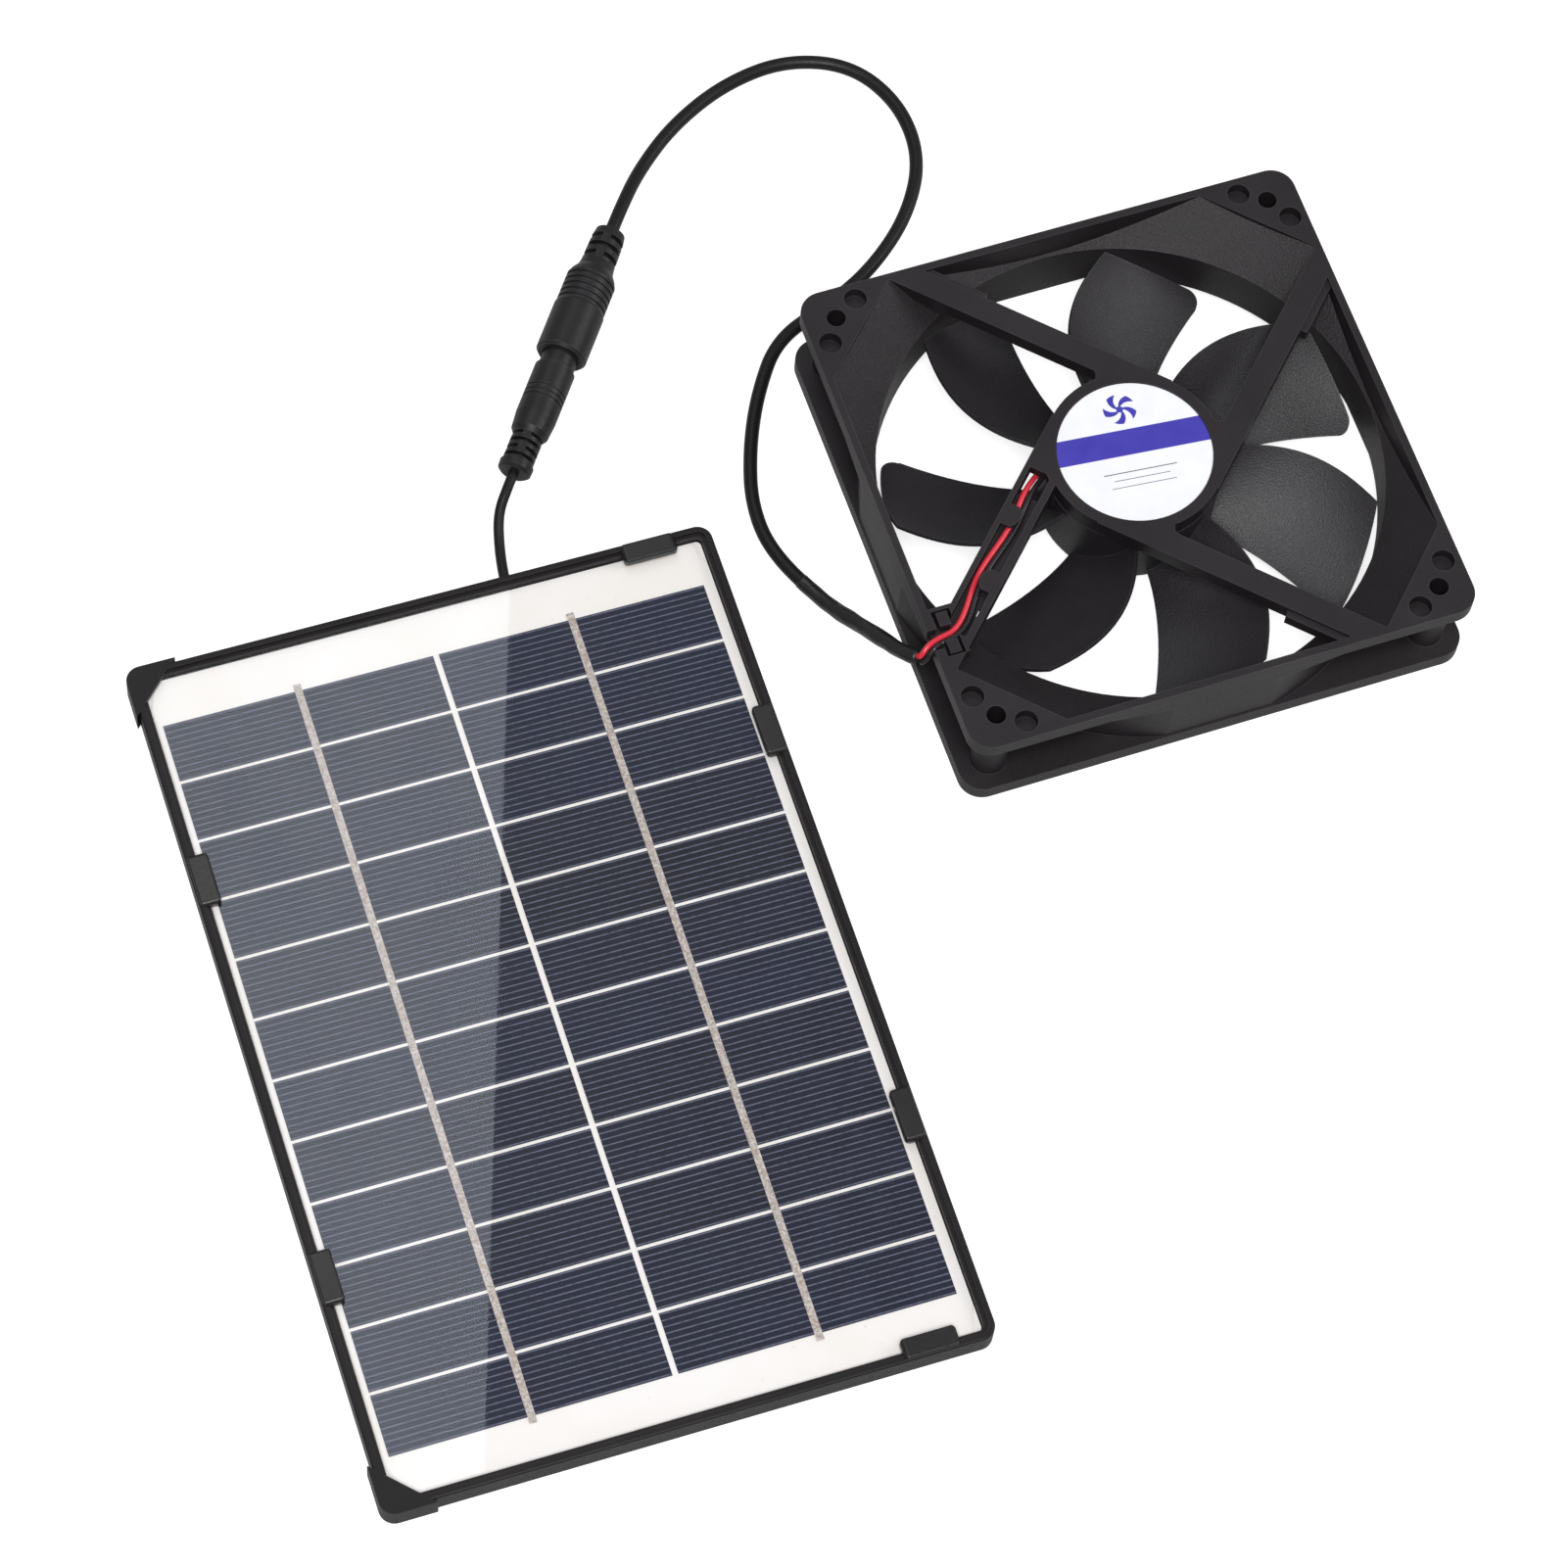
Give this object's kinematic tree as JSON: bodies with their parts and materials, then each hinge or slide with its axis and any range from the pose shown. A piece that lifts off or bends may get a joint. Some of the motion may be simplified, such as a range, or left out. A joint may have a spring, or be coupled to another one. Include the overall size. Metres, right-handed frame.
{
  "type": "solar attic fan",
  "caption": "Square axial fan with a pinwheel of struts, wired through a barrel connector to a framed flat solar panel.",
  "frame": {"origin": "on the rotor axis, in the plane of the fan's lower flange face, centre of its bolt pattern", "axes": "+Z along the rotor axis towards the outlet side, which carries the struts and the label; +X and +Y along the fan's sides, with the panel on the -X side"},
  "size_m": [0.2928, 0.3178, 0.025],
  "materials": {
    "housing_plastic": "black moulded ABS, fine matte",
    "impeller_plastic": "black moulded PBT, fine matte grain",
    "label": "printed polyester label, white with a blue band",
    "brass": "turned brass",
    "bronze": "sintered oil-filled bronze",
    "plated_metal": "nickel plated",
    "seal_rubber": "black rubber",
    "cord_rubber": "black PVC",
    "connector_rubber": "black moulded PVC",
    "core_steel": "stamped silicon steel",
    "yoke_steel": "pressed zinc plated steel",
    "shaft_steel": "ground steel",
    "nylon": "natural nylon",
    "copper": "enamelled copper wire",
    "board": "green solder mask",
    "chip": "black epoxy",
    "magnet": "bonded ferrite",
    "lead_red": "glossy red insulation",
    "lead_black": "glossy black insulation",
    "shrink_tube": "black heat-shrink tube",
    "frame_plastic": "black moulded ABS",
    "clip_plastic": "black moulded ABS, slightly glossy",
    "white_sheet": "white laminated sheet",
    "resin": "clear encapsulant",
    "clear_cover": "clear cover",
    "cell": "blue polycrystalline silicon",
    "ribbon": "tinned copper"
  },
  "bodies": {
    "fan": {"fan_housing": "housing_plastic", "hub_label": "label", "bearing_tube": "brass", "sleeve_bearing": "bronze", "oil_washer": "nylon", "bearing_cap": "seal_rubber", "stator_core": "core_steel", "stator_insulators": "nylon", "stator_windings": "copper", "circuit_board": "board", "hall_sensor": "chip", "drive_chip": "chip", "chip_capacitors": "bronze", "lead_red": "lead_red", "lead_black": "lead_black", "heat_shrink_sleeve": "shrink_tube", "fan_cable": "cord_rubber", "jack_housing": "connector_rubber", "jack_insulator": "nylon", "jack_contact": "plated_metal", "jack_pin": "plated_metal"},
    "impeller": {"impeller": "impeller_plastic", "rotor_yoke": "yoke_steel", "magnet_ring": "magnet", "rotor_shaft": "shaft_steel", "retaining_ring": "nylon"},
    "panel_side": {"plug_body": "connector_rubber", "plug_barrel": "plated_metal", "plug_insulator": "nylon", "plug_socket": "plated_metal", "panel_cable": "cord_rubber", "panel_frame": "frame_plastic", "panel_clips": "clip_plastic", "backsheet": "white_sheet", "encapsulant": "resin", "solar_cells": "cell", "cell_ribbons": "ribbon", "front_cover": "clear_cover", "junction_cover": "frame_plastic", "terminal_tabs": "brass", "blocking_diode": "chip"}
  },
  "joints": [
    {"name": "impeller_spin", "type": "hinge", "parent": "fan", "child": "impeller", "pos_m": [0, 0, 0], "axis": [0, 0, 1], "continuous": true},
    {"name": "plug_withdraw", "type": "slide", "parent": "fan", "child": "panel_side", "axis": [-0.6088, -0.7934, 0], "range_m": [0, 0.03]}
  ]
}
